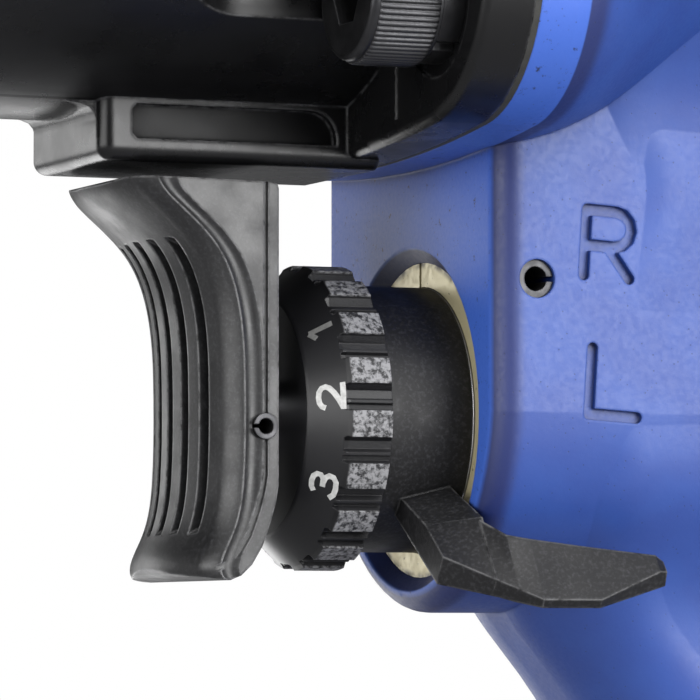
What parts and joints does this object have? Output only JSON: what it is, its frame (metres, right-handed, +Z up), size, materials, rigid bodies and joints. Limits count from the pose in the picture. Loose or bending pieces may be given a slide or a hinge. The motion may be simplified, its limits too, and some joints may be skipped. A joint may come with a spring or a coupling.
{
  "type": "air impact wrench",
  "caption": "Pistol-grip air impact wrench with a square drive, squeeze trigger, numbered power dial and a forward-reverse finger lever.",
  "frame": {"origin": "on the drive axis where the square leaves the anvil's shoulder", "axes": "+X forward out of the nose along the drive axis, +Y to the tool's left side, +Z up away from the handle"},
  "size_m": [0.1715, 0.0724, 0.1892],
  "materials": {
    "blue_paint": "satin blue paint over a cast aluminium body, fine cast grain",
    "case_black": "gloss black coating over a casting",
    "gasket": "thin gasket sheet",
    "black_steel": "black oxide",
    "machined_steel": "machined",
    "cast_plate": "ground faces",
    "bearing_steel": "ground and polished",
    "vane_composite": "phenolic laminate",
    "anvil_steel": "hardened and phosphated",
    "bronze": "sintered bronze",
    "seal_rubber": "nitrile",
    "spring_steel": "spring wire",
    "trigger_black": "satin black die casting",
    "pin_steel": "slotted roll pin",
    "dial_black": "black moulded dial with worn grey teeth",
    "lever_black": "black coating worn bright along the finger edge",
    "pale_brass": "pale machined brass",
    "plated_steel": "zinc plated",
    "deflector_black": "moulded shroud",
    "felt": "needle felt"
  },
  "bodies": {
    "housing": {"motor_housing": "blue_paint", "hammer_case": "case_black", "case_gasket": "gasket", "hammer_case_screws": "black_steel", "case_lock_washers": "black_steel", "rear_gasket": "gasket", "rear_cover": "blue_paint", "rear_cover_screws": "black_steel", "cylinder_liner": "machined_steel", "cylinder_dowels": "machined_steel", "front_end_plate": "cast_plate", "rear_end_plate": "cast_plate", "front_bearing_outer_race": "bearing_steel", "rear_bearing_outer_race": "bearing_steel", "anvil_bushing": "bronze", "nose_seal": "seal_rubber", "throttle_seat": "bronze", "throttle_spring": "spring_steel", "valve_bushing": "pale_brass", "valve_retaining_pin": "pin_steel", "reverse_detent_ball": "bearing_steel", "reverse_detent_spring": "spring_steel", "inlet_bushing": "plated_steel", "inlet_screen": "spring_steel", "exhaust_deflector": "deflector_black", "muffler_felt": "felt"},
    "trigger": {"trigger": "trigger_black", "trigger_pin": "pin_steel", "trigger_rod": "machined_steel", "trigger_rod_o_ring": "seal_rubber", "throttle_poppet": "seal_rubber"},
    "power_dial": {"regulator_dial": "dial_black", "dial_retaining_clip": "spring_steel"},
    "reverse_lever": {"reverse_lever": "lever_black", "reverse_valve": "machined_steel", "reverse_valve_seal": "seal_rubber"},
    "rotor": {"rotor": "machined_steel", "rotor_vanes": "vane_composite", "front_bearing_inner_race": "bearing_steel", "rear_bearing_inner_race": "bearing_steel", "hammer_cage": "machined_steel", "hammer_pins": "bearing_steel"},
    "front_bearing_balls": {"front_bearing_balls": "bearing_steel"},
    "rear_bearing_balls": {"rear_bearing_balls": "bearing_steel"},
    "rear_hammer": {"rear_hammer": "machined_steel"},
    "front_hammer": {"front_hammer": "machined_steel"},
    "anvil": {"anvil": "anvil_steel", "socket_retaining_ring": "spring_steel", "socket_ring_o_ring": "seal_rubber"}
  },
  "joints": [
    {"name": "trigger_pull", "type": "slide", "parent": "housing", "child": "trigger", "axis": [-1, 0, 0], "range_m": [0, 0.002], "stiffness_N_per_m": 1800, "springref_m": -0.004, "deforming": ["throttle_spring"]},
    {"name": "dial_turn", "type": "hinge", "parent": "housing", "child": "power_dial", "pos_m": [-0.08, 0, -0.056], "axis": [1, 0, 0], "range_deg": [-36, 36]},
    {"name": "reverse_turn", "type": "hinge", "parent": "housing", "child": "reverse_lever", "pos_m": [-0.08, 0, -0.056], "axis": [1, 0, 0], "range_deg": [0, 50]},
    {"name": "rotor_spin", "type": "hinge", "parent": "housing", "child": "rotor", "pos_m": [-0.08, 0, 0], "axis": [1, 0, 0], "continuous": true},
    {"name": "anvil_spin", "type": "hinge", "parent": "housing", "child": "anvil", "pos_m": [-0.08, 0, 0], "axis": [1, 0, 0], "continuous": true},
    {"name": "front_balls_orbit", "type": "hinge", "parent": "housing", "child": "front_bearing_balls", "pos_m": [-0.08, 0, 0], "axis": [1, 0, 0], "continuous": true},
    {"name": "rear_balls_orbit", "type": "hinge", "parent": "housing", "child": "rear_bearing_balls", "pos_m": [-0.08, 0, 0], "axis": [1, 0, 0], "continuous": true},
    {"name": "rear_hammer_rock", "type": "hinge", "parent": "rotor", "child": "rear_hammer", "pos_m": [-0.08, 0, 0.0195], "axis": [1, 0, 0], "range_deg": [-4, 4]},
    {"name": "front_hammer_rock", "type": "hinge", "parent": "rotor", "child": "front_hammer", "pos_m": [-0.08, 0, -0.0195], "axis": [1, 0, 0], "range_deg": [-4, 4]}
  ],
  "couplings": [
    {"joint": "anvil_spin", "follows": "rotor_spin", "ratio": 1},
    {"joint": "front_balls_orbit", "follows": "rotor_spin", "ratio": 0.385},
    {"joint": "rear_balls_orbit", "follows": "rotor_spin", "ratio": 0.385}
  ]
}
